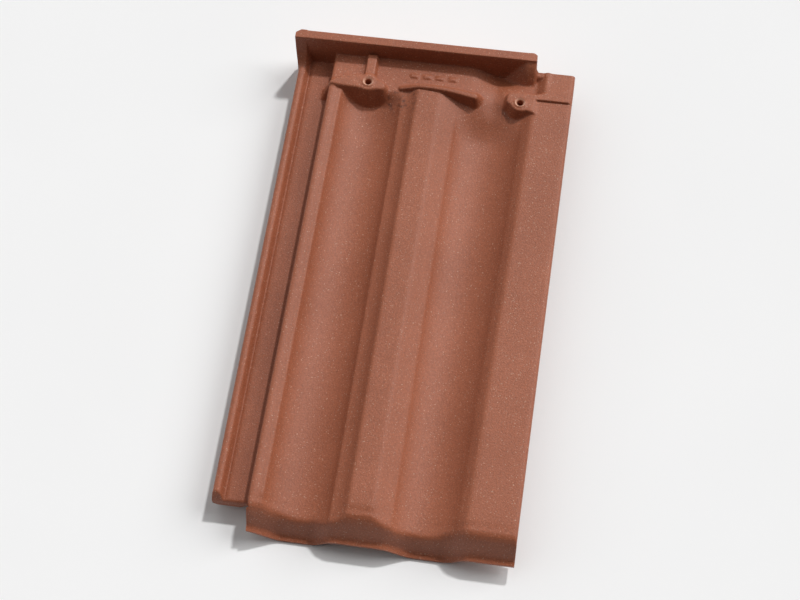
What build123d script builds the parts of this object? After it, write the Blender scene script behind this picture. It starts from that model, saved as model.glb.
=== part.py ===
from build123d import *
import os

# Interlocking double trough roof tile, pressed from one slab of clay and fired.
# It lies on its back face: X runs across the roof, Y up the roof to the head edge, Z out of the roof.
# Stations along the tile are measured from the head edge towards the nose.

os.makedirs("parts", exist_ok=True)

# Overall size
length = 432.0
width = 236.0
wall = 11.0

# Side lock, the water channel and the ribs that the next tile's lap covers
lock_rib_width = 7.4
lock_rib_top = 26.0
lock_groove_x = 9.4
lock_groove_floor = 18.6
channel_start = 11.8
channel_floor = 20.0
channel_end = 30.8
lock_end = length - 20.0

# Levels of the pressed face
crest_top = 37.0
crest_width = 7.4
ridge_top = 38.5
step_level = 28.5
trough_floor = 17.5
trough_rise = 1.5
head_floor = 32.5
drain_floor = 27.0

# Places across the pressed face, where it has reached its full depth; the two trough floors take up the width
trough_bottom = (width - 198.0) / 2
shoulder_x = 42.5
trough_1_start = shoulder_x + 15.5
trough_1_end = trough_1_start + trough_bottom
step_x = trough_1_end + 16.7
ridge_start = step_x + 12.9
ridge_end = ridge_start + 19.7
facet_end = ridge_end + 14.5
trough_2_start = facet_end + 17.7
trough_2_end = trough_2_start + trough_bottom + 1.3
lap_foot = trough_2_end + 20.2
lap_border = lap_foot + 6.5
back_flank = 5.0

# Cover lap over the next tile's side lock
lap_top = 37.0
lap_thickness = 9.0
lap_taper = 9.0
lap_head = 11.5
lap_flange_width = 6.0
lap_flange_depth = 6.0
edge_round = 3.0

# Head: the rib that the tile above covers, and the floor behind it
head_rib_top = 48.5
head_rib_width = 8.2
head_rib_draft = 2.4
head_rib_flare = 3.0
head_rib_end = lap_border - 2.5
head_rib_round = 1.6
return_end = 22.0
return_width = 8.6
rise_start = 34.0
rise_end = 42.0
back_rise_start = 46.0
fall_start = 41.0
fall_end = 54.0
slow_fall_start = 38.0
slow_fall_end = 80.0
lap_step = 39.5
lap_step_height = 2.0
bead_x = lap_border + 5.5
bead_width = 3.4

# Nail bosses and the inner bar of the head lock
boss_radius = 7.4
boss_top = 39.0
nail_radius = 2.75
left_boss_x = trough_1_start + 6.1
left_boss_at = 38.5
right_boss_x = lap_border - 12.2
right_boss_at = 43.5
web_width = 8.0
web_top = 38.0
bar_top = 41.5
bar_start = step_x - 3.7
bar_middle = ridge_end + 1.7
bar_end = trough_2_start + 4.5
bar_width = 4.6

# Nose: the pressed face turns down to a lip that lies in the troughs of the tile below
nose_start = length - 20.0
nose_height = 25.5
lip_high = 13.0
lip_start = nose_start + 4.0
lip_inner = nose_start + 8.0
lip_ledge = 2.6

# Hanging nibs that hook over the batten
nib_width = 30.0
nib_face = 32.0
nib_length = 8.0
nib_slope = 6.0
nib_spacing = 110.0

middle = (width - head_rib_flare) / 2


def blend(start, end, share):
    """A value the given share of the way from start to end."""
    return start + (end - start) * share


def eased(share):
    """Zero to one with a flat start and a flat end."""
    return share * share * (3 - 2 * share)


def spot(x, station, z=0.0):
    """A point of the tile, from its place across and its station from the head edge."""
    return (x - middle, length / 2 - station, z)


def lip_level(x):
    """Height of the lip's lower edge: low in both troughs and high under the crest, ridge and lap."""
    corners = [
        (0.0, lip_high + 2.5),
        (channel_end + 0.7, lip_high + 2.5),
        (trough_1_start - back_flank, 0.0),
        (trough_1_end + back_flank, 0.0),
        (step_x, lip_high),
        (facet_end - 4, lip_high),
        (trough_2_start - back_flank + 1, 0.0),
        (trough_2_end + back_flank, 0.0),
        (lap_foot - 1.5, lip_high),
        (width + 5, lip_high),
    ]
    for (x_1, z_1), (x_2, z_2) in zip(corners, corners[1:]):
        if x <= x_2:
            return blend(z_1, z_2, (x - x_1) / (x_2 - x_1))
    return lip_high


def nose_rise(station):
    """Height of the nose's face above the lip's lower edge."""
    corners = [(nose_start, nose_height), (nose_start + 3, nose_height - 1.2), (nose_start + 8, nose_height - 6),
               (nose_start + 13, nose_height - 13.5), (length - 3, lip_ledge + 3), (length, lip_ledge)]
    for (s_1, z_1), (s_2, z_2) in zip(corners, corners[1:]):
        if station <= s_2:
            return blend(z_1, z_2, (station - s_1) / (s_2 - s_1))
    return lip_ledge


def outline(station):
    """The closed section of the tile at one station: stretches of the pressed face, then the back's corners."""
    along = station / length
    rise = eased(min(max((station - rise_start) / (rise_end - rise_start), 0), 1))
    back_rise = eased(min(max((station - back_rise_start) / (fall_end - back_rise_start), 0), 1))
    fall = eased(min(max((station - fall_start) / (fall_end - fall_start), 0), 1))
    slow_fall = eased(min(max((station - slow_fall_start) / (slow_fall_end - slow_fall_start), 0), 1))
    nosed = min(max((station - lip_start) / (lip_inner - lip_start), 0), 1)
    floor = trough_floor + trough_rise * along
    shift = -lap_taper * along
    crest = channel_end - along

    def face(x, z, head_z=None, head_x=None, fall=fall):
        """A point of the pressed face, at its head level first, and lowered where the nose turns down."""
        level = z if head_z is None else blend(head_z, z, rise if z > head_z else fall)
        place = x if head_x is None else blend(head_x, x, rise)
        if station > nose_start:
            level = min(level, lip_level(place) + nose_rise(station))
        return (place, level)

    def back(x, z, head_z=None, head_x=None, fall=fall):
        """A point of the back face, lowered to the lip's edge at the nose."""
        level = z if head_z is None else blend(head_z, z, back_rise if z > head_z else fall)
        place = x if head_x is None else blend(head_x, x, back_rise)
        return (place, blend(level, min(level, lip_level(place)), nosed))

    rib_left = face(0.3, lock_rib_top - 3.5)
    rib_middle = face(lock_rib_width / 2, lock_rib_top)
    rib_right = face(lock_rib_width, lock_rib_top - 3)
    groove = face(lock_groove_x, lock_groove_floor)
    channel_left = face(channel_start, channel_floor)
    channel_right = face(crest - 2, channel_floor)
    wall_foot = face(crest + 0.1, channel_floor + 2)
    wall_head = face(crest + 0.5, crest_top - 2.5, head_floor - 1)
    crest_middle = face(crest + 3.4, crest_top, head_floor)
    crest_right = face(crest + crest_width, crest_top - 1.4, head_floor)
    shoulder = face(shoulder_x - along, crest_top - 2, head_floor)
    trough_1_left = face(trough_1_start, floor, head_floor)
    trough_1_right = face(trough_1_end, floor, head_floor)
    step = face(step_x, step_level, head_floor, fall=slow_fall)
    ridge_left = face(ridge_start, ridge_top, head_floor)
    ridge_right = face(ridge_end, ridge_top, head_floor)
    facet_foot = face(facet_end, step_level + 1, head_floor, fall=slow_fall)
    trough_2_left = face(trough_2_start, floor, drain_floor, fall=slow_fall)
    trough_2_right = face(trough_2_end + shift / 2, floor, drain_floor, fall=slow_fall)
    foot = face(lap_foot + shift, lap_top - 5, head_floor + 0.3, bead_x - 0.6)
    border = face(lap_border + shift, lap_top, None, bead_x + 0.5)
    edge_top = face(width - edge_round, lap_top)
    edge_side = face(width, lap_top - edge_round)

    pressed = [
        [face(0.0, channel_floor - wall + 3), rib_left],
        [rib_left, face(0.6, lock_rib_top), rib_middle],
        [rib_middle, face(lock_rib_width - 0.8, lock_rib_top), rib_right],
        [rib_right, groove],
        [groove, channel_left],
        [channel_left, channel_right],
        [channel_right, face(crest, channel_floor), wall_foot],
        [wall_foot, wall_head],
        [wall_head, face(crest + 0.8, crest_top, head_floor), crest_middle],
        [crest_middle, face(crest + 6.2, crest_top, head_floor), crest_right],
        [crest_right, shoulder],
        [
            shoulder,
            face(shoulder_x + 4.5, crest_top - 3, head_floor),
            face(trough_1_start - 8, floor, head_floor),
            trough_1_left,
        ],
        [trough_1_left, trough_1_right],
        [trough_1_right, face(trough_1_end + 12, floor, head_floor, fall=slow_fall), step],
        [step, face(step_x + 6.8, step_level + 2.3, head_floor, fall=slow_fall), ridge_left],
        [ridge_left, ridge_right],
        [ridge_right, facet_foot],
        [
            facet_foot,
            face(facet_end + 7.2, step_level - 0.5, head_floor, fall=slow_fall),
            face(trough_2_start - 7.5, floor, drain_floor, fall=slow_fall),
            trough_2_left,
        ],
        [trough_2_left, trough_2_right],
        [trough_2_right, face(trough_2_end + 14.2 + shift, floor, drain_floor + 1), foot],
        [foot, border],
        [border, edge_top],
        [edge_top, face(width, lap_top), edge_side],
    ]

    back_head = head_floor - wall
    back_drain = drain_floor - wall
    back_crest = crest_top - 1.4 * wall
    back_lap = lap_top - lap_thickness
    under = [
        edge_side,
        back(width, back_lap - lap_flange_depth + 1.5),
        back(width - 1.5, back_lap - lap_flange_depth),
        back(width - lap_flange_width, back_lap - lap_flange_depth),
        back(width - lap_flange_width - 2, back_lap),
        back(lap_border + 6, back_lap, None, bead_x + 7),
        back(lap_foot - 1.5 + shift / 2, back_lap - 8, back_head, lap_border),
        back(trough_2_end + back_flank + shift / 2, floor - wall, back_drain, fall=slow_fall),
        back(trough_2_start - back_flank + 1, floor - wall, back_drain, fall=slow_fall),
        back(facet_end - 4, step_level - wall + 1, back_head, fall=slow_fall),
        back(ridge_end, ridge_top - wall, back_head),
        back(ridge_start + 1, ridge_top - wall, back_head),
        back(step_x, step_level - wall, back_head, fall=slow_fall),
        back(trough_1_end + back_flank, floor - wall, back_head),
        back(trough_1_start - back_flank, floor - wall, back_head),
        back(channel_end + 9, back_crest, back_head),
        back(channel_end + 2, back_crest, back_head),
        back(channel_end - 9, channel_floor - wall),
        back(3.0, channel_floor - wall),
        face(0.0, channel_floor - wall + 3),
    ]
    return pressed, under


def section_edges(station):
    """The edges of the tile's section, standing at its station."""
    pressed, under = outline(station)
    edges = []
    for stretch in pressed:
        points = [spot(x, station, z) for x, z in stretch]
        edges.append(Edge.make_bezier(*points) if len(points) > 2 else Edge.make_line(*points))
    corners = [spot(x, station, z) for x, z in under]
    edges += [Edge.make_line(start, end) for start, end in zip(corners, corners[1:])]
    return edges


def pressed_slab():
    """The slab with its pressed face and back, ruled from each station to the next."""
    stations = [0.0, rise_start, slow_fall_start, rise_end, 45.0, 48.0, 51.0, fall_end, 60.0, 70.0,
                slow_fall_end, nose_start, lip_start, lip_inner, nose_start + 13, length - 3, length]
    rings = [section_edges(station) for station in stations]
    faces = [Face(Wire(rings[0])), Face(Wire(rings[-1]))]
    for ring, following in zip(rings, rings[1:]):
        faces += [Face.make_surface_from_curves(near, far) for near, far in zip(ring, following)]
    return Solid(Shell(faces))


def across(x):
    """A plane along the tile, with stations and levels as its coordinates; it extrudes to the left."""
    return Plane(origin=spot(x, 0), x_dir=(0, -1, 0), z_dir=(-1, 0, 0))


def level(z):
    """A level plane, with places across and stations as its coordinates; it extrudes down."""
    return Plane(origin=spot(0, 0, z), x_dir=(1, 0, 0), z_dir=(0, 0, -1))


# Levels that the added forms reach down to, so that they end inside the slab
head_root = head_floor - wall + 1
channel_root = channel_floor - wall + 1
nose_left = channel_end + 0.5
nib_right_x = (width + nib_spacing) / 2
nib_left_x = (width - nib_spacing) / 2

with BuildPart() as tile:
    add(pressed_slab())

    # Head rib along the upper edge
    with BuildSketch(across(head_rib_end)):
        with BuildLine():
            draft = head_rib_draft / (head_rib_top - head_floor)
            Polyline(
                (0, head_root),
                (0, head_rib_top - head_rib_round),
                (head_rib_round, head_rib_top),
                (head_rib_width - head_rib_round, head_rib_top),
                (head_rib_width, head_rib_top - head_rib_round),
                (head_rib_width + draft * (head_rib_top - head_root), head_root),
                close=True,
            )
        make_face()
    extrude(amount=head_rib_end + head_rib_flare)

    # Returns of the head rib: the left one sweeps down to the outer rib, the right one to the lap
    with BuildSketch(across(lock_rib_width)):
        with BuildLine():
            ThreePointArc((head_rib_width - 1, head_rib_top - 0.8), (13.0, 34.0), (return_end, lock_rib_top - 2))
            Polyline((return_end, lock_rib_top - 2), (return_end, channel_root), (0, channel_root),
                     (0, head_rib_top - head_rib_round), (head_rib_width - 1, head_rib_top - 0.8))
        make_face()
    extrude(amount=lock_rib_width + head_rib_flare)
    with BuildSketch(across(head_rib_end)):
        with BuildLine():
            ThreePointArc((head_rib_width - 1, head_rib_top - 0.8), (14.5, 42.5), (return_end, head_floor))
            Polyline((return_end, head_floor), (return_end, head_root), (2, head_root), (2, head_root + 6),
                     (head_rib_width - 1, head_rib_top - 0.8))
        make_face()
    extrude(amount=return_width)

    # Flare of the head rib's left end, drawn in to the side lock
    with BuildSketch(level(head_rib_top + 1)):
        with BuildLine():
            Polyline((-head_rib_flare - 1, 8), (-head_rib_flare, 8), (0, return_end + 2), (0, return_end + 8),
                     (-head_rib_flare - 1, return_end + 8), close=True)
        make_face()
    extrude(amount=head_rib_top + 2, mode=Mode.SUBTRACT)

    # Upstand of the lap's head: a bead along its left side and a ramp that ends in a step
    with BuildSketch(across(width - edge_round)):
        with BuildLine():
            Polyline((lap_head + 4, lap_top - 1), (lap_step - 8, lap_top + lap_step_height),
                     (lap_step - 1, lap_top + lap_step_height), (lap_step, lap_top + lap_step_height - 0.6),
                     (lap_step, lap_top - 1), close=True)
        make_face()
    extrude(amount=width - edge_round - bead_x)
    with BuildSketch(across(bead_x + bead_width)):
        with BuildLine():
            Polyline((lap_head, head_floor - 2), (lap_head, lap_top + lap_step_height),
                     (lap_step - 4, lap_top + lap_step_height), (lap_step - 4, head_floor - 2), close=True)
        make_face()
    extrude(amount=bead_width)

    # Left nail boss, a lens with a round swelling at its hole
    with BuildSketch(level(boss_top)):
        with BuildLine():
            left_tip = (left_boss_x - 30, left_boss_at + 4.5)
            right_tip = (left_boss_x + 16, left_boss_at + 3)
            ThreePointArc(left_tip, (left_boss_x - 4, left_boss_at - 5.3), right_tip)
            ThreePointArc(right_tip, (left_boss_x - 7, left_boss_at + 5.1), left_tip)
        make_face()
        with Locations((left_boss_x, left_boss_at)):
            Circle(boss_radius)
    extrude(amount=boss_top - head_root, taper=-10)

    # Right nail boss, a pad that runs into the lap and ends in a gusset
    with BuildSketch(level(boss_top)):
        with BuildLine():
            pad_head = (right_boss_x - 5.3, right_boss_at - 9)
            pad_tail = (right_boss_x - 10.3, right_boss_at + 3)
            ThreePointArc(pad_head, (right_boss_x - 12.9, right_boss_at - 4), pad_tail)
            Polyline(pad_tail, (right_boss_x, right_boss_at + 4.5), (lap_border - 3, right_boss_at + 7.5),
                     (lap_border, right_boss_at + 7.5), (lap_border, pad_head[1]), pad_head)
        make_face()
        with Locations((right_boss_x, right_boss_at)):
            Circle(boss_radius)
    extrude(amount=boss_top - head_root, taper=-8)

    # Web from the head rib to the left boss
    with BuildSketch(level(web_top)):
        with Locations((left_boss_x, (head_rib_width + left_boss_at - boss_radius) / 2)):
            Rectangle(web_width, left_boss_at - boss_radius - head_rib_width + 8)
    extrude(amount=web_top - head_root, taper=-6)

    # Inner bar, a lens across the head of the ridge
    with BuildSketch(level(bar_top)):
        with BuildLine():
            bar_left = (bar_start, 41.8)
            bar_right = (bar_end, 47.5)
            ThreePointArc(bar_left, (bar_middle, 41.8 - bar_width), bar_right)
            ThreePointArc(bar_right, (bar_middle + 2, 41.8), bar_left)
        make_face()
    extrude(amount=bar_top - head_root)

    # Hanging nibs under the head
    with BuildSketch(across(nib_right_x + nib_width / 2), across(nib_left_x + nib_width / 2)):
        with BuildLine():
            Polyline((nib_face, 0), (nib_face, head_root), (nib_face - nib_length - nib_slope, head_root),
                     (nib_face - nib_length, 0), close=True)
        make_face()
    extrude(amount=nib_width)

    # The lap starts below the head rib, where the next tile's head rib passes
    with BuildSketch(level(head_rib_top + 1)):
        with BuildLine():
            Polyline((head_rib_end, -1), (width + 1, -1), (width + 1, lap_head), (head_rib_end, lap_head), close=True)
        make_face()
    extrude(amount=head_rib_top + 2, mode=Mode.SUBTRACT)

    # The side lock stops before the nose, where the lap beside it comes down
    with BuildSketch(across(nose_left)):
        with BuildLine():
            Polyline((lock_end - 6, lock_rib_top + 1), (lock_end, lock_rib_top - 8), (lock_end, -1),
                     (length + 1, -1), (length + 1, head_rib_top), (lock_end - 6, head_rib_top), close=True)
        make_face()
    extrude(amount=nose_left + 1, mode=Mode.SUBTRACT)

    # Nail holes through both bosses
    with Locations(spot(left_boss_x, left_boss_at, boss_top), spot(right_boss_x, right_boss_at, boss_top)):
        Hole(nail_radius)

tile.part.label = "roof_tile"
export_step(tile.part, "parts/roof_tile.step")
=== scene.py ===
import math

import bpy
import numpy as np
from mathutils import Matrix, Vector


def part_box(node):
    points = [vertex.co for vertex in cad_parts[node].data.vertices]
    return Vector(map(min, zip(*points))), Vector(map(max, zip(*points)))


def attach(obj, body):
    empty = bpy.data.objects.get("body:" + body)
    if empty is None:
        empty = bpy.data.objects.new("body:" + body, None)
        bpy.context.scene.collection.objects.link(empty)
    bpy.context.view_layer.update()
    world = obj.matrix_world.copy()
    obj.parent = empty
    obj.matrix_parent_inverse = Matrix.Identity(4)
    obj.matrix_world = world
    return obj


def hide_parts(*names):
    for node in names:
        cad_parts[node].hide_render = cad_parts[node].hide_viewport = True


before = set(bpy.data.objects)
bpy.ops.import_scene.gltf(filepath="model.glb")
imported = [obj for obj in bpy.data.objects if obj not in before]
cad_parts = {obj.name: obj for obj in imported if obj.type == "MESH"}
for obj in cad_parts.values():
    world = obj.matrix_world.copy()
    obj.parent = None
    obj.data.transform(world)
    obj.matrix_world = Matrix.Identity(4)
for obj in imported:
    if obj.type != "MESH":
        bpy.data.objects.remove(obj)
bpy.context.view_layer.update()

# ---------------------------------------------------------------- roof tile
# One slab of red clay, pressed between two plaster-lined dies, dried and fired.
# The upper die leaves the ribs, troughs, nail bosses and bars, the lower one the nibs,
# and every edge keeps the small radius that lets the damp clay leave the die.

MM = 0.001
low, high = [np.array(corner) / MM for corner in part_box("roof_tile")]
head_rib_flare = 3.0
length = high[1] - low[1]
width = high[0] - low[0] - head_rib_flare
middle = (width - head_rib_flare) / 2
wall = 11.0

# Side lock
lock_rib_width = 7.4
lock_rib_top = 26.0
groove_x = 9.4
groove_floor = 18.6
channel_start = 11.8
channel_floor = 20.0
channel_end = 30.8
lock_end = length - 20
lock_end_start = 6.0
lock_end_slope = 1.5

# Levels of the pressed face
crest_top = 37.0
crest_width = 7.4
ridge_top = 38.5
step_level = 28.5
step_fill = 1.5
trough_floor = 17.5
trough_rise = 1.5
head_floor = 32.5
drain_floor = 27.0

# Places across the face; the two trough floors take up the width
trough_bottom = (width - 198) / 2
shoulder_x = 42.5
trough_1 = (58.0, 58.0 + trough_bottom)
step_x = trough_1[1] + 16.7
ridge = (step_x + 12.9, step_x + 32.6)
facet_end = ridge[1] + 14.5
trough_2 = (facet_end + 17.7, facet_end + 19 + trough_bottom)
lap_foot = trough_2[1] + 20.2
lap_border = lap_foot + 6.5
back_flank = 5.0
lap_top = 37.0
lap_thickness = 9.0
lap_taper = 9.0
lap_head = 11.5
flange_width = 6.0
flange_depth = 6.0
edge_round = 3.0

# Head
rib_top = high[2]
rib_width = 8.2
rib_slope = 6.7
rib_round = 1.6
rib_end = lap_border - 2.5
rib_corner = 3.4
rib_corner_slope = 1.35
return_end = 22.0
return_width = 8.6
rise = (34.0, 42.0)
back_rise = (46.0, 54.0)
fall = (41.0, 54.0)
slow_fall = (38.0, 80.0)
rib_cut = 2.2
rib_cut_slope = 1.7

# Arcs of the two returns, as stations and levels
left_sweep = ([6.0, 8.0, 10.0, 13.0, 17.0, return_end, 24.0, 27.0],
              [48.0, 46.6, 40.5, 33.6, 28.4, 24.2, 22.0, 0.0])
right_sweep = ([6.0, 9.0, 12.0, 16.0, 20.0, return_end + 0.5, 24.0],
               [47.8, 46.6, 44.4, 40.4, 35.6, 32.0, 0.0])

# Lap head: a ramp up to a low step, and a bead along its left side
lap_step = 39.5
ramp_profile = ([lap_head, lap_head + 4, lap_step - 8, lap_step - 0.8, lap_step, lap_step + 0.3],
                [36.0, 36.4, 38.4, 38.9, 38.4, 0.0])
ramp_edge = 2.2
ramp_widening = 8.0
bead_x = lap_border + 5.5
bead_width = 5.0
bead_top = 38.6
rim_half_width = 9.0
rim_depth = 4.4
rim_top = lap_top - 0.3

# Drain beside the right return, a scoop that runs out over the trough
drain_x = trough_2[1] - 4
drain_reach = 26.0
drain_end = 34.0
drain_depth = head_floor - drain_floor + 2.5
valley_x = drain_x - 4
valley_reach = 12.0
valley_ends = (16.0, 60.0)
valley_depth = 2.2

# Nail bosses; the lens and the pad take their places from the holes
boss_radius = 7.4
boss_top = 39.0
nail_radius = 2.75
left_nail = (trough_1[0] + 6.1, 38.5)
right_nail = (lap_border - 12.2, 43.5)
lens_left = (left_nail[0] - 34.1, left_nail[1] + 4.5)
lens_head = (left_nail[0] - 6.1, left_nail[1] - 5.3)
lens_right = (left_nail[0] + 11.9, left_nail[1] + 3.5)
lens_tail = (left_nail[0] - 9.1, left_nail[1] + 6.0)
wing_end = left_nail[0] + 10.9
wing_middle = left_nail[1] + 1.9
wing_lean = 0.05
wing_half_width = 3.4
pad_left = right_nail[0] - 11.7
pad_bulge = (right_nail[1] - 2.5, 6.5)
pad_head = right_nail[1] - 9.2
pad_tail = right_nail[1] + 4.5
gusset_lean = 0.33
mouth_lip_radius = 4.3
mouth_lip_height = 0.9
mouth_depth = 1.3

# Marks: a pale ring at each hole, a painted highlight that is lightest on its nose side, where the key lamp
# lights the hole's mouth; and a dark patch in the clay on the step under the bar.
# The patch fades over scorch_fade across and along, and ends scorch_spread times that from its middle.
# Painted highlight ring: its radius, its half width, and the least share it keeps on the hole's head side
highlight_ring_radius = 3.6
highlight_ring_half_width = 1.1
highlight_least_share = 0.35
scorch_x = step_x + 1
scorch_station = 51.0
scorch_fade = (8.0, 5.0)
scorch_spread = 2.4

# Web and inner bar
web_width = 8.0
web_top = 38.0
web_reach = 12.0
bar_left = step_x - 1.5
bar_right = trough_2[0] - 3.5
bar_middle = step_x + 14
bar_station = 38.4
bar_bend = 0.0022
bar_half_width = 1.6
bar_swelling = 0.9
bar_top = 41.5
bar_levels = ([bar_left, bar_middle, ridge[1]], [34.8, 40.3, bar_top])

# Row of short plain raised bars on the channel floor
plain_start = 96.0
plain_pitch = 11.0
plain_count = 4
plain_half_width = 3.0
plain_half_length = 1.6
plain_station = 25.0
plain_height = 1.2

# Nose: heights of its face above the lip, at places from its start
nose_start = length - 20
nose_places = [0.0, 2.0, 5.0, 8.0, 11.0, 13.5, 15.5, 17.0, 18.5, 20.0]
nose_heights = [25.5, 25.0, 22.5, 18.8, 14.0, 9.4, 6.0, 4.4, 3.6, 3.0]
nose_draw = 4.5
nose_lead = 0.15
nose_round = 3.0
lip_high = 13.0

# Hanging nibs
nib_width = 30.0
nib_face = 32.0
nib_length = 8.0
nib_slope = 6.0
nib_spacing = 110.0


def span(first, last, steps):
    """Evenly spaced values from first up to, and without, last."""
    return first + (last - first) * np.arange(steps) / steps


def eased(share):
    """3t^2 - 2t^3 of the share held to 0..1."""
    held = np.clip(share, 0.0, 1.0)
    return held * held * (3 - 2 * held)


def higher(a, b, radius):
    """Smooth maximum, (a + b + sqrt((a - b)^2 + radius^2)) / 2, which fillets an inner corner."""
    return (a + b + np.sqrt((a - b) ** 2 + radius ** 2)) / 2


def lower(a, b, radius):
    """Smooth minimum, (a + b - sqrt((a - b)^2 + radius^2)) / 2, which rounds an outer corner."""
    return (a + b - np.sqrt((a - b) ** 2 + radius ** 2)) / 2


# Rows follow each other down the tile, close together where the head and the nose are modelled
stations = np.concatenate([
    span(0.0, 1.8, 5), span(1.8, 6.0, 5), span(6.0, lap_head, 14), span(lap_head, 18.0, 9),
    span(18.0, 32.0, 22), span(32.0, 56.0, 44), span(56.0, 86.0, 14),
    span(86.0, lock_end - 8, 18), span(lock_end - 8, lock_end, 8),
    span(lock_end, length, 28), [length],
])
along = stations / length
risen = eased((stations - rise[0]) / (rise[1] - rise[0]))
back_risen = eased((stations - back_rise[0]) / (back_rise[1] - back_rise[0]))
fallen = eased((stations - fall[0]) / (fall[1] - fall[0]))
slowly_fallen = eased((stations - slow_fall[0]) / (slow_fall[1] - slow_fall[0]))
floor = trough_floor + trough_rise * along
shift = -lap_taper * along
crest = channel_end - along


def face_point(x, z, head_z=None, head_x=None, fallen=fallen):
    """A control point of every row: its head place and level, blended into the body's."""
    x, z = x + 0 * stations, z + 0 * stations
    if head_z is not None:
        down = head_z + (z - head_z) * fallen
        up = head_z + (z - head_z) * risen
        z = np.where(z > head_z, up, down)
    if head_x is not None:
        x = head_x + (x - head_x) * risen
    return np.stack([x, z], axis=-1)


def stretch(points, steps):
    """Bezier curve over 2, 3 or 4 control points, sampled at t = 0, 1/steps, ... without its end."""
    t = (np.arange(steps) / steps)[None, :, None]
    p = [point[:, None, :] for point in points]
    while len(p) > 1:
        p = [a * (1 - t) + b * t for a, b in zip(p, p[1:])]
    return p[0] * np.ones_like(t)


def pressed_profile():
    """Every row's pressed face from the left edge to the right, as x and z of the same columns."""
    f = face_point
    rib_left = f(0.3, lock_rib_top - 3.5)
    rib_middle = f(lock_rib_width / 2, lock_rib_top)
    rib_right = f(lock_rib_width, lock_rib_top - 3)
    groove = f(groove_x, groove_floor)
    channel_left = f(channel_start, channel_floor)
    channel_right = f(crest - 2.2, channel_floor)
    wall_foot = f(crest + 0.1, channel_floor + 2.2)
    wall_head = f(crest + 0.5, crest_top - 2.5, head_floor - 1.5)
    crest_middle = f(crest + 3.4, crest_top, head_floor)
    crest_right = f(crest + crest_width, crest_top - 1.4, head_floor)
    shoulder = f(shoulder_x - along, crest_top - 2, head_floor)
    step = f(step_x, step_level + step_fill, head_floor, fallen=slowly_fallen)
    ridge_left = f(ridge[0], ridge_top, head_floor)
    ridge_right = f(ridge[1], ridge_top, head_floor)
    facet_foot = f(facet_end, step_level + step_fill, head_floor, fallen=slowly_fallen)
    between = (fallen + slowly_fallen) / 2
    pan_1 = [
        f(trough_1[0] - 7, floor - 3.5, head_floor),
        f(trough_1[1] + 8, floor - 3.5, head_floor, fallen=between),
    ]
    riser = f(step_x + 7.5, step_level + step_fill + 1.6, head_floor, fallen=slowly_fallen)
    pan_2 = [
        f(trough_2[0] - 7, floor - 2.5, head_floor, fallen=slowly_fallen),
        f(trough_2[1] + 6 + shift, floor - 4.5, head_floor - 3, fallen=slowly_fallen),
    ]
    foot = f(lap_foot + shift, lap_top - 5, head_floor + 0.3, bead_x - 0.6)
    border = f(lap_border + shift, lap_top, None, bead_x + 0.5)
    edge_top = f(width - edge_round, lap_top)
    edge_side = f(width, lap_top - edge_round)
    parts = [
        ([f(0.0, channel_floor - wall + 3), rib_left], 3),
        ([rib_left, f(0.6, lock_rib_top), rib_middle], 6),
        ([rib_middle, f(lock_rib_width - 0.8, lock_rib_top), rib_right], 6),
        ([rib_right, groove], 5),
        ([groove, channel_left], 4),
        ([channel_left, channel_right], 10),
        ([channel_right, f(crest, channel_floor), wall_foot], 5),
        ([wall_foot, wall_head], 8),
        ([wall_head, f(crest + 0.8, crest_top, head_floor), crest_middle], 6),
        ([crest_middle, f(crest + 6.2, crest_top, head_floor), crest_right], 6),
        ([crest_right, shoulder], 4),
        ([shoulder] + pan_1 + [step], 68),
        ([step, riser, ridge_left], 14),
        ([ridge_left, ridge_right], 14),
        ([ridge_right, facet_foot], 12),
        ([facet_foot] + pan_2 + [foot], 78),
        ([foot, border], 6),
        ([border, edge_top], 18),
        ([edge_top, f(width, lap_top), edge_side], 6),
        ([edge_side], 1),
    ]
    grid = np.concatenate([stretch(points, steps) for points, steps in parts], axis=1)
    return grid[:, :, 0], grid[:, :, 1]


def lip_level(x):
    """Height of the lip's lower edge: down in both troughs, up under crest, ridge and lap."""
    places = [
        channel_end + 0.7, trough_1[0] - back_flank, trough_1[1] + back_flank, step_x,
        facet_end - 4, trough_2[0] - back_flank + 1, trough_2[1] + back_flank, lap_foot - 1.5,
    ]
    heights = [lip_high + 2.5, 0.0, 0.0, lip_high, lip_high, 0.0, 0.0, lip_high]
    return sum(np.interp(x + aside, places, heights) for aside in (-4, -2, 0, 2, 4)) / 5


def nose_rise(station):
    """Height of the nose's face above the lip's edge: rounded over, hollow below, then the ledge."""
    return np.interp(station, nose_start + np.array(nose_places), nose_heights)


def arc_centre(start, through, end):
    """Centre and radius of the circle through three points."""
    (ax, ay), (bx, by), (cx, cy) = start, through, end
    d = 2 * (ax * (by - cy) + bx * (cy - ay) + cx * (ay - by))
    a2, b2, c2 = ax * ax + ay * ay, bx * bx + by * by, cx * cx + cy * cy
    ux = (a2 * (by - cy) + b2 * (cy - ay) + c2 * (ay - by)) / d
    uy = (a2 * (cx - bx) + b2 * (ax - cx) + c2 * (bx - ax)) / d
    return ux, uy, math.hypot(ax - ux, ay - uy)


def lens_distance(x, s, start, head_side, end, tail_side):
    """Distance outside a lens of two arcs: the larger of the distances to its two circles."""
    gaps = []
    for through, inside in ((head_side, 1), (tail_side, -1)):
        cx, cy, r = arc_centre(start, through, end)
        bulges_out = (cy > through[1]) == (inside > 0)
        gap = np.hypot(x - cx, s - cy) - r
        gaps.append(gap if bulges_out else -gap)
    past_tips = np.abs(x - (start[0] + end[0]) / 2) - (end[0] - start[0]) / 2
    return higher(higher(gaps[0], gaps[1], 0.5), past_tips * 0.6, 0.8)


def raised(distance, top, slope, radius=1.0):
    """A form's height: its top, then a draft wall that falls by slope for each mm outside its outline."""
    return lower(top, top - distance * slope, radius)


def nail_boss(x, s, nail, outline, slope, change, radius):
    """An outline with a round swelling at its hole, raised with a wall that grows softer past the hole."""
    swelling = np.hypot(x - nail[0], s - nail[1]) - boss_radius
    draft = slope - change * np.clip((s - nail[1]) / 3, -1, 1)
    return raised(lower(outline, swelling, radius[0]), boss_top, draft, radius[1])


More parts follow.
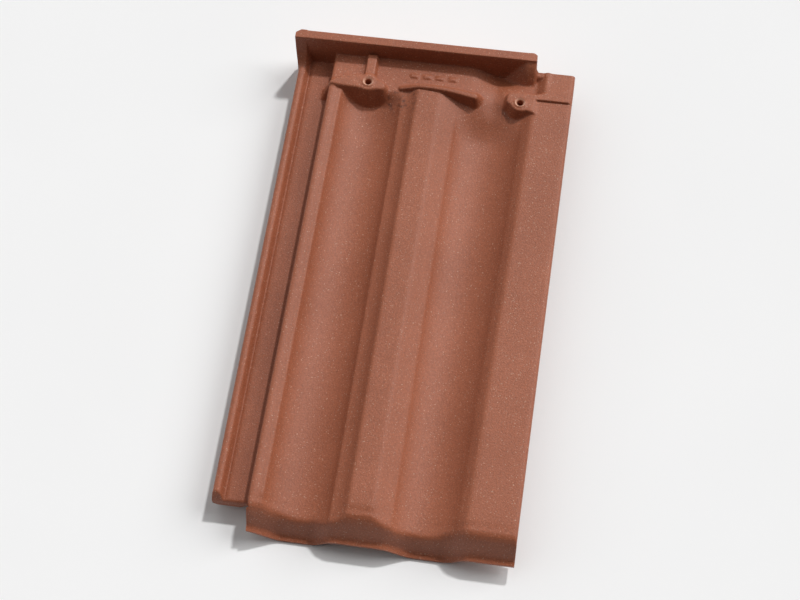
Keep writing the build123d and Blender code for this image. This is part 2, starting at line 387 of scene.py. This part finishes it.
def head_forms(x, s, base):
    """The base face with the head rib, returns, bosses, web, bar, bead, ramp and plain bars added."""
    # Drain: a scoop in the channel floor, and a shallow valley that leads it into the trough
    scoop = eased(1 - np.abs(x - drain_x) / drain_reach) * eased((drain_end - s) / 22)
    valley = eased(1 - np.abs(x - valley_x) / valley_reach)
    valley = valley * eased((s - valley_ends[0]) / 16) * eased((valley_ends[1] - s) / 16)
    z = base - scoop * drain_depth - valley * valley_depth
    # Head rib: a flat top with both edges rounded and a drafted wall to the channel
    rib = lower(rib_top, rib_top - 0.35 - (s - rib_width) * rib_slope, 1.4)
    inset = np.clip(rib_round - s, 0, rib_round)
    rib = rib - (rib_round - np.sqrt(rib_round ** 2 - inset ** 2))
    rib = np.where(x < rib_end + 0.01, rib, 0)
    z = higher(z, rib, 1.2)
    # Left return: an arc down to the outer rib, with a rounded inner side
    left_return = raised(x - lock_rib_width + 0.6, np.interp(s, *left_sweep), 4.0, 1.5)
    z = higher(z, left_return, 1.0)
    # Right return: an arc down to the recessed flat, with a long soft inner side
    inner_side = (rib_end - return_width - x) * 0.27
    right_return = raised(np.maximum(inner_side, x - rib_end), np.interp(s, *right_sweep), 4.5, 2.5)
    z = higher(z, right_return, 1.0)
    # Rim along the head edge from the rib's end to the lap
    rim = higher(np.abs(x - (rib_end + bead_x) / 2) - rim_half_width, s - lap_head - rim_depth, 1.0)
    rim = np.where(x > rib_end - return_width, raised(rim, rim_top, 1.6, 1.2), 0)
    z = higher(z, rim, 0.8)
    # Web between the head rib and the left boss
    web_station = (rib_width + left_nail[1]) / 2
    web = higher(np.abs(x - left_nail[0]) - web_width / 2, np.abs(s - web_station) - web_reach, 0.4)
    z = higher(z, raised(web, web_top, 4.5, 1.2), 0.9)
    # Left boss: a lens that starts at the crest, and a round-ended wing to the right
    lens = lens_distance(x, s, lens_left, lens_head, lens_right, lens_tail)
    lens = higher(lens, channel_end + 1.5 - x, 0.5)
    wing_line = wing_middle + wing_lean * (x - left_nail[0])
    wing = np.hypot(x - np.clip(x, left_nail[0], wing_end), s - wing_line) - wing_half_width
    z = higher(z, nail_boss(x, s, left_nail, lower(lens, wing, 1.5), 3.4, 1.1, (2.2, 1.6)), 0.9)
    # Right boss: a pad with a rounded left end that runs into the lap and tapers to a gusset
    left_side = pad_left - x + ((s - pad_bulge[0]) / pad_bulge[1]) ** 2 * 1.1
    gusset = s - pad_tail - (x - right_nail[0]) * gusset_lean
    pad = higher(higher(left_side, pad_head - s, 2.0), gusset, 1.5)
    pad = higher(pad, x - lap_border - 0.5, 0.5)
    z = higher(z, nail_boss(x, s, right_nail, pad, 3.3, 0.7, (2.0, 1.5)), 0.9)
    # Inner bar: a round-ended bar along an arc across the head of the ridge, steep to the nose
    held = np.clip(x, bar_left, bar_right)
    line = bar_station + bar_bend * (held - bar_middle) ** 2
    bar = np.hypot(x - held, s - line) - bar_half_width - bar_swelling * eased((x - ridge[0]) / 50)
    slope = 2.8 + 0.9 * np.clip((s - line) / 3, -1, 1)
    z = higher(z, raised(bar, np.interp(x, *bar_levels), slope, 1.6), 0.8)
    # Lap head: the ramp widens to the boss before its step, and the bead stands at its left side
    ramp_start = bead_x + 1.5 - ramp_widening * eased((s - 31) / 4)
    ramp = higher(ramp_start - x, x - width + ramp_edge, 0.5)
    z = higher(z, raised(ramp, np.interp(s, *ramp_profile), 1.6, 1.2), 0.5)
    bead = np.abs(x - bead_x - bead_width / 2) - bead_width / 2 + 1.0
    bead = raised(bead, bead_top + 0 * s, 1.0, 2.0)
    bead = np.where((s > lap_head - 0.1) & (s < lap_step - 1), bead, 0)
    z = higher(z, bead, 0.6)
    # Each nail hole has a dished mouth with a low lip pushed up on its nose side
    for nail in (left_nail, right_nail):
        away = np.hypot(x - nail[0], s - nail[1])
        lip = np.exp(-((away - mouth_lip_radius) / 0.9) ** 2) * eased((s - nail[1] + 3.5) / 5)
        z = z + mouth_lip_height * lip - mouth_depth * np.exp(-(away - nail_radius) ** 2)
    # Row of plain bars, all alike and evenly spaced
    row_half = plain_pitch * plain_count / 2
    plain = np.abs(np.mod(x - plain_start, plain_pitch) - plain_pitch / 2) - plain_half_width
    plain = higher(plain, np.abs(s - plain_station) - plain_half_length, 0.4)
    plain = higher(plain, np.abs(x - plain_start - row_half) - row_half, 0.4)
    return higher(z, raised(plain, head_floor + plain_height, 1.4, 0.5), 0.25)


def smoothed(values, passes):
    """Each value averaged with its neighbours across the row, as a quarter, a half and a quarter."""
    for _ in range(passes):
        inner = values[:, 1:-1] / 2 + (values[:, :-2] + values[:, 2:]) / 4
        values = np.concatenate([values[:, :1], inner, values[:, -1:]], axis=1)
    return values


def back_profile(x):
    """Every row's back face at the same places across, straight between its corners."""
    back_head = head_floor - wall
    back_drain = drain_floor - wall
    back_crest = crest_top - 1.4 * wall
    back_lap = lap_top - lap_thickness
    flange_x = width - flange_width
    quick, slow = fallen, slowly_fallen
    corners = [
        (0.0, channel_floor - wall + 3),
        (3.0, channel_floor - wall),
        (channel_end - 9, channel_floor - wall),
        (channel_end + 2, back_crest, back_head),
        (channel_end + 9, back_crest, back_head),
        (trough_1[0] - back_flank, floor - wall, back_head),
        (trough_1[1] + back_flank, floor - wall, back_head),
        (step_x, step_level - wall, back_head, None, slow),
        (ridge[0] + 1, ridge_top - wall, back_head),
        (ridge[1], ridge_top - wall, back_head),
        (facet_end - 4, step_level - wall + 1, back_head, None, slow),
        (trough_2[0] - back_flank + 1, floor - wall, back_drain, None, slow),
        (trough_2[1] + back_flank + shift / 2, floor - wall, back_drain, None, slow),
        (lap_foot - 1.5 + shift / 2, back_lap - 8, back_head, lap_border),
        (lap_border + 6, back_lap, None, bead_x + 7),
        (flange_x - 2, back_lap),
        (flange_x, back_lap - flange_depth),
        (width - 1.5, back_lap - flange_depth),
        (width, back_lap - flange_depth + 1.5),
    ]
    places, levels = [], []
    for corner in corners:
        place, level, head_z, head_x, down = corner + (None, None, quick)[len(corner) - 2:]
        place, level = place + 0 * stations, level + 0 * stations
        if head_z is not None:
            level = head_z + (level - head_z) * np.where(level > head_z, back_risen, down)
        if head_x is not None:
            place = head_x + (place - head_x) * back_risen
        places.append(place)
        levels.append(level)
    places, levels = np.array(places).T, np.array(levels).T
    return np.array([np.interp(row, p, z) for row, p, z in zip(x, places, levels)])


def tile_grid():
    """Top and back vertices of every row and column, in mm, with the places across and along."""
    x, z = pressed_profile()
    x, z = smoothed(x, 2), smoothed(z, 2)
    s = stations[:, None] + 0 * x
    # The head rib flares past the side lock and has its corners cut
    flare = -head_rib_flare * (1 - eased((s - 8) / 18)) + np.clip(rib_corner - s, 0, None) * rib_corner_slope
    x = x + flare * np.clip(1 - x / 12, 0, 1)
    cut = -np.clip(rib_cut - s, 0, None) * rib_cut_slope
    x = x + cut * np.clip(1 - np.abs(x - rib_end) / 14, 0, 1)
    # One column follows the end of the head rib
    notch_column = int(np.argmin(np.abs(x[12] - rib_end)))
    near = np.clip(1 - np.abs(np.arange(x.shape[1]) - notch_column) / 4, 0, 1)[None, :]
    target = rib_end + cut
    x = x + (target - x[:, notch_column:notch_column + 1]) * near * (1 - eased((s - lap_head) / 6))
    # The nose's left corner is drawn in towards the lip
    drawn = nose_draw * eased((s - lock_end) / (length - lock_end))
    x = x + drawn * np.clip(1 - (x - channel_end) / 16, 0, 1) * (x > channel_end)
    z = head_forms(x, s, z)
    # The nose turns the face down to the lip, and rises out of reach ahead of its start
    lead = nose_lead * np.clip(nose_start - s, 0, None) ** 2
    z = lower(z, lip_level(x) + nose_rise(s) + lead, nose_round)
    # The side lock ends in a slope before the nose
    locked = x < crest[:, None] - 0.4
    sloped = lock_rib_top + 1 - (s - lock_end + lock_end_start) * lock_end_slope
    z = np.where(locked, lower(z, sloped, 0.8), z)
    z = np.minimum(z, rib_top)
    back = back_profile(x)
    nosed = np.clip((s - nose_start - 4) / 4, 0, 1)
    back = back + (np.minimum(back, lip_level(x)) - back) * nosed
    # Nibs under the head
    for side in (-1, 1):
        centre = (width + side * nib_spacing) / 2
        across = np.abs(x - centre) - nib_width / 2
        tail = (s - nib_face) * 30
        head = (nib_face - nib_length - s) / nib_slope * (head_floor - wall)
        back = np.minimum(back, np.maximum.reduce([across * 8, tail, head, 0 * x]))
    back = np.minimum(back, z - 1.5)
    return x, s, z, back, notch_column


def nail_hole(x, s, inside, nail):
    """Takes the quads within the hole out of the mask and draws its rim's vertices onto the circle."""
    centre_x = (x[:-1, :-1] + x[1:, 1:]) / 2
    centre_s = (s[:-1, :-1] + s[1:, 1:]) / 2
    hole = np.hypot(centre_x - nail[0], centre_s - nail[1]) < nail_radius
    inside &= ~hole
    touched = np.zeros(x.shape, bool)
    for rows in (slice(None, -1), slice(1, None)):
        for columns in (slice(None, -1), slice(1, None)):
            touched[rows, columns] |= hole
    solid = np.zeros(x.shape, bool)
    for rows in (slice(None, -1), slice(1, None)):
        for columns in (slice(None, -1), slice(1, None)):
            solid[rows, columns] |= inside
    rim = touched & solid
    away = np.hypot(x - nail[0], s - nail[1])
    scale = np.where(rim, nail_radius / np.maximum(away, 0.1), 1.0)
    return nail[0] + (x - nail[0]) * scale, nail[1] + (s - nail[1]) * scale


def marks(x, s):
    """Shares, up to 1, of a painted highlight in a pale ring at each nail hole, lightest on its nose side,
    and of dark clay on the step.
    """
    ring = 0 * x
    # Painted highlight: a pale ring round each hole, strongest on its nose side, where the key lamp falls
    for nail in (left_nail, right_nail):
        away = np.hypot(x - nail[0], s - nail[1])
        nearer_nose = highlight_least_share + (1 - highlight_least_share) * eased((s - nail[1] + 2.5) / 4)
        ring = np.maximum(ring, eased(1 - np.abs(away - highlight_ring_radius) / highlight_ring_half_width) * nearer_nose)
    across = eased(scorch_spread - np.abs(x - scorch_x) / scorch_fade[0])
    down = eased(scorch_spread - np.abs(s - scorch_station) / scorch_fade[1])
    return {"painted_highlight": ring, "scorch": across * down}


def tile_mesh():
    """Two grids, the pressed face and the back, joined by a wall wherever the slab ends."""
    x, s, top, back, notch_column = tile_grid()
    rows, columns = x.shape
    inside = np.ones((rows - 1, columns - 1), bool)
    middle_s = (s[:-1, :-1] + s[1:, 1:]) / 2
    middle_x = (x[:-1, :-1] + x[1:, 1:]) / 2
    inside[:, notch_column:] &= middle_s[:, notch_column:] > lap_head
    inside &= ~((middle_x < channel_end + 0.5) & (middle_s > lock_end))
    for nail in (left_nail, right_nail):
        x, s = nail_hole(x, s, inside, nail)
    place = np.stack([x - middle, length / 2 - s], axis=-1)
    points = np.concatenate([
        np.concatenate([place, top[..., None]], axis=-1).reshape(-1, 3),
        np.concatenate([place, back[..., None]], axis=-1).reshape(-1, 3),
    ])
    number = np.arange(rows * columns).reshape(rows, columns)
    below = rows * columns
    a, b = number[:-1, :-1], number[:-1, 1:]
    c, d = number[1:, 1:], number[1:, :-1]
    upper = np.stack([a, d, c, b], axis=-1)[inside]
    under = np.stack([a, b, c, d], axis=-1)[inside] + below
    padded = np.pad(inside, 1)
    walls = []
    for here, there, start, end in (
        (padded[1:-1, 1:-1], padded[:-2, 1:-1], b, a),
        (padded[1:-1, 1:-1], padded[2:, 1:-1], d, c),
        (padded[1:-1, 1:-1], padded[1:-1, :-2], a, d),
        (padded[1:-1, 1:-1], padded[1:-1, 2:], c, b),
    ):
        edge = here & ~there
        first, last = start[edge], end[edge]
        walls.append(np.stack([first, first + below, last + below, last], axis=-1))
    faces = np.concatenate([upper, under] + walls)
    used = np.unique(faces)
    renumber = np.zeros(len(points), int)
    renumber[used] = np.arange(len(used))
    mesh = bpy.data.meshes.new("clay_tile")
    mesh.from_pydata((points[used] * MM).tolist(), [], renumber[faces].tolist())
    for name, values in marks(x, s).items():
        attribute = mesh.attributes.new(name, "FLOAT", "POINT")
        attribute.data.foreach_set("value", np.tile(values.ravel(), 2)[used])
    mesh.validate()
    mesh.shade_smooth()
    mesh.set_sharp_from_angle(angle=math.radians(50))
    tile = bpy.data.objects.new("clay_tile", mesh)
    bpy.context.scene.collection.objects.link(tile)
    return tile


# Fired clay: scales are waves in a metre
clay_dark = (0.312, 0.091, 0.041, 1)
clay_light = (0.374, 0.115, 0.055, 1)
grog_pale = (0.62, 0.40, 0.29, 1)
# Pale colour of the painted highlight round each nail hole
painted_highlight_pale = (0.82, 0.52, 0.38, 1)
scorch_dark = (0.10, 0.035, 0.022, 1)
tint_scale = 14.0
grain_scale = 760.0
grog_scale = 850.0
scorch_scale = 330.0
grain_share = 0.55
grain_depth = 0.0007


def nodes_of(material):
    """Empties a material's node tree, adds Object coordinates, and returns the tree and their socket."""
    material.use_nodes = True
    tree = material.node_tree
    tree.nodes.clear()
    return tree, tree.nodes.new("ShaderNodeTexCoord").outputs["Object"]


def node(tree, kind, values=None, links=None, **settings):
    """Adds a shader node with its settings, the values on its inputs, and the sockets linked to them."""
    made = tree.nodes.new(kind)
    for name, value in settings.items():
        setattr(made, name, value)
    for name, value in (values or {}).items():
        made.inputs[name].default_value = value
    for name, socket in (links or {}).items():
        tree.links.new(socket, made.inputs[name])
    return made


def noise(tree, place, scale, detail, roughness=0.5):
    """A noise pattern on Object coordinates, as its Fac socket."""
    values = {"Scale": scale, "Detail": detail, "Roughness": roughness}
    return node(tree, "ShaderNodeTexNoise", values, {"Vector": place}).outputs["Fac"]


def ranged(tree, share, first, last, low_value, high_value):
    """A pattern's range from first to last, turned into low_value to high_value."""
    values = {"From Min": first, "From Max": last, "To Min": low_value, "To Max": high_value}
    return node(tree, "ShaderNodeMapRange", values, {"Value": share}).outputs["Result"]


def mixed(tree, under, over, share):
    """A colour laid over another one by a share that changes over the surface."""
    links = {"A": under, "Factor": share}
    return node(tree, "ShaderNodeMix", {"B": over}, links, data_type="RGBA").outputs["Result"]


def ramp_between(tree, share, first, last, places=(0.0, 1.0)):
    """A colour ramp from first to last between two places of a pattern."""
    ramp = node(tree, "ShaderNodeValToRGB", links={"Fac": share})
    for element, place, colour in zip(ramp.color_ramp.elements, places, (first, last)):
        element.position = place
        element.color = colour
    return ramp.outputs["Color"]


def finish(tree, colour, values, links=None):
    """The shader, with its colour and the values on its own sockets, put out as the surface."""
    links = {"Base Color": colour, **(links or {})}
    body = node(tree, "ShaderNodeBsdfPrincipled", values, links)
    node(tree, "ShaderNodeOutputMaterial", links={"Surface": body.outputs["BSDF"]})


def fired_clay():
    """Red clay: broad firing tints, sandy grain in colour and bump, pale grog specks, a painted highlight
    ring at each nail hole, and scorch.
    """
    material = bpy.data.materials.new("fired_clay")
    tree, place = nodes_of(material)
    tint = ramp_between(tree, noise(tree, place, tint_scale, 4.0, 0.6), clay_dark, clay_light, (0.32, 0.7))
    fine = noise(tree, place, grain_scale, 4.0, 0.75)
    shade = ranged(tree, fine, 0.3, 0.7, 0.45, 1.45)
    grain = node(tree, "ShaderNodeMix", {"Factor": grain_share}, {"A": tint, "B": shade},
                 data_type="RGBA", blend_type="MULTIPLY").outputs["Result"]
    grog = ranged(tree, noise(tree, place, grog_scale, 1.0), 0.67, 0.73, 0.0, 0.55)
    speckled = mixed(tree, grain, grog_pale, grog)
    # Painted highlight: a pale ring round each nail hole, lightest on its nose side, where the key lamp falls
    painted_highlight = node(tree, "ShaderNodeAttribute", attribute_name="painted_highlight").outputs["Fac"]
    highlighted = mixed(tree, speckled, painted_highlight_pale, painted_highlight)
    scorch = node(tree, "ShaderNodeAttribute", attribute_name="scorch").outputs["Fac"]
    streaks = ranged(tree, noise(tree, place, scorch_scale, 5.0), 0.48, 0.72, 0.0, 0.75)
    streaked = node(tree, "ShaderNodeMath", links={0: scorch, 1: streaks}, operation="MULTIPLY")
    scorched = mixed(tree, highlighted, scorch_dark, streaked.outputs["Value"])
    bump = node(tree, "ShaderNodeBump", {"Strength": 0.6, "Distance": grain_depth}, {"Height": fine})
    finish(tree, scorched, {"Roughness": 0.46, "Specular IOR Level": 0.4}, {"Normal": bump.outputs["Normal"]})
    return material


clay_tile = tile_mesh()
clay_tile.data.materials.append(fired_clay())
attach(clay_tile, "root")
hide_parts("roof_tile")

# ---------------------------------------------------------------- floor
# A white sheet of card, laid flat on the studio table under the tile.
# It is matt, and it runs past the picture on every side.

card_reach = 6.0
card_grey = (0.90, 0.90, 0.90, 1)
card_white = (0.93, 0.93, 0.93, 1)


def card():
    """A level square of card at the height of the tile's lowest places."""
    reach = card_reach
    corners = [(-reach, -reach, 0), (reach, -reach, 0), (reach, reach, 0), (-reach, reach, 0)]
    mesh = bpy.data.meshes.new("card")
    mesh.from_pydata(corners, [], [(0, 1, 2, 3)])
    sheet = bpy.data.objects.new("card", mesh)
    bpy.context.scene.collection.objects.link(sheet)
    return sheet


def white_card():
    """Matt white card with a barely seen mottle."""
    material = bpy.data.materials.new("white_card")
    tree, place = nodes_of(material)
    tint = ramp_between(tree, noise(tree, place, 6.0, 2.0), card_grey, card_white)
    finish(tree, tint, {"Roughness": 0.9, "Specular IOR Level": 0.1})
    return material


floor_card = card()
floor_card.data.materials.append(white_card())

# ---------------------------------------------------------------- light
# A key lamp stands beyond the head of the tile and a little to its right, small and far off.
# A broad soft fill comes from the right and a broader one from the left, and the white room gives the rest.

# Each lamp's turn to the right and height in degrees, its strength, and how broad it looks in degrees
lamps = {
    "key": (27, 52, 1.62, 4),
    "fill": (62, 38, 1.6, 40),
    "left_fill": (-70, 45, 0.95, 90),
}
room_strength = 0.04


def sun(name, turn, height, strength, breadth):
    """A distant lamp, turned from the tile's head towards its right and raised above the floor."""
    lamp = bpy.data.lights.new(name, "SUN")
    lamp.energy = strength
    lamp.angle = math.radians(breadth)
    holder = bpy.data.objects.new(name, lamp)
    turn, height = math.radians(turn), math.radians(height)
    aim = Vector((math.sin(turn) * math.cos(height), math.cos(turn) * math.cos(height), math.sin(height)))
    holder.rotation_euler = aim.to_track_quat("Z", "Y").to_euler()
    bpy.context.scene.collection.objects.link(holder)


for lamp_name, lamp_values in lamps.items():
    sun(lamp_name, *lamp_values)
bpy.context.scene.view_settings.view_transform = "Standard"
world = bpy.data.worlds.new("white_room")
bpy.context.scene.world = world
world.use_nodes = True
background = world.node_tree.nodes["Background"]
background.inputs["Color"].default_value = (1, 1, 1, 1)
background.inputs["Strength"].default_value = room_strength

# ---------------------------------------------------------------- camera
# The camera stands at the nose, a little to its right, and looks steeply down.
# The lens is a short telephoto, and the camera is rolled a few degrees.

azimuth = math.radians(14.0)
elevation = math.radians(65.2)
roll = math.radians(-6.0)
distance = 1.389
slide = Vector((-0.0005, -0.0019))
focal_length = 76.5
sensor_width = 36

level_reach = math.cos(elevation)
back_axis = Vector((math.sin(azimuth) * level_reach, -math.cos(azimuth) * level_reach, math.sin(elevation)))
level_right = Vector((math.cos(azimuth), math.sin(azimuth), 0))
level_up = back_axis.cross(level_right)
right = math.cos(roll) * level_right + math.sin(roll) * level_up
up = -math.sin(roll) * level_right + math.cos(roll) * level_up
eye = back_axis * distance + level_right * slide.x + level_up * slide.y
lens = bpy.data.cameras.new("camera")
lens.lens = focal_length
lens.sensor_width = sensor_width
camera = bpy.data.objects.new("camera", lens)
camera.matrix_world = Matrix.Translation(eye) @ Matrix((right, up, back_axis)).transposed().to_4x4()
bpy.context.scene.collection.objects.link(camera)
bpy.context.scene.camera = camera

bpy.context.view_layer.update()
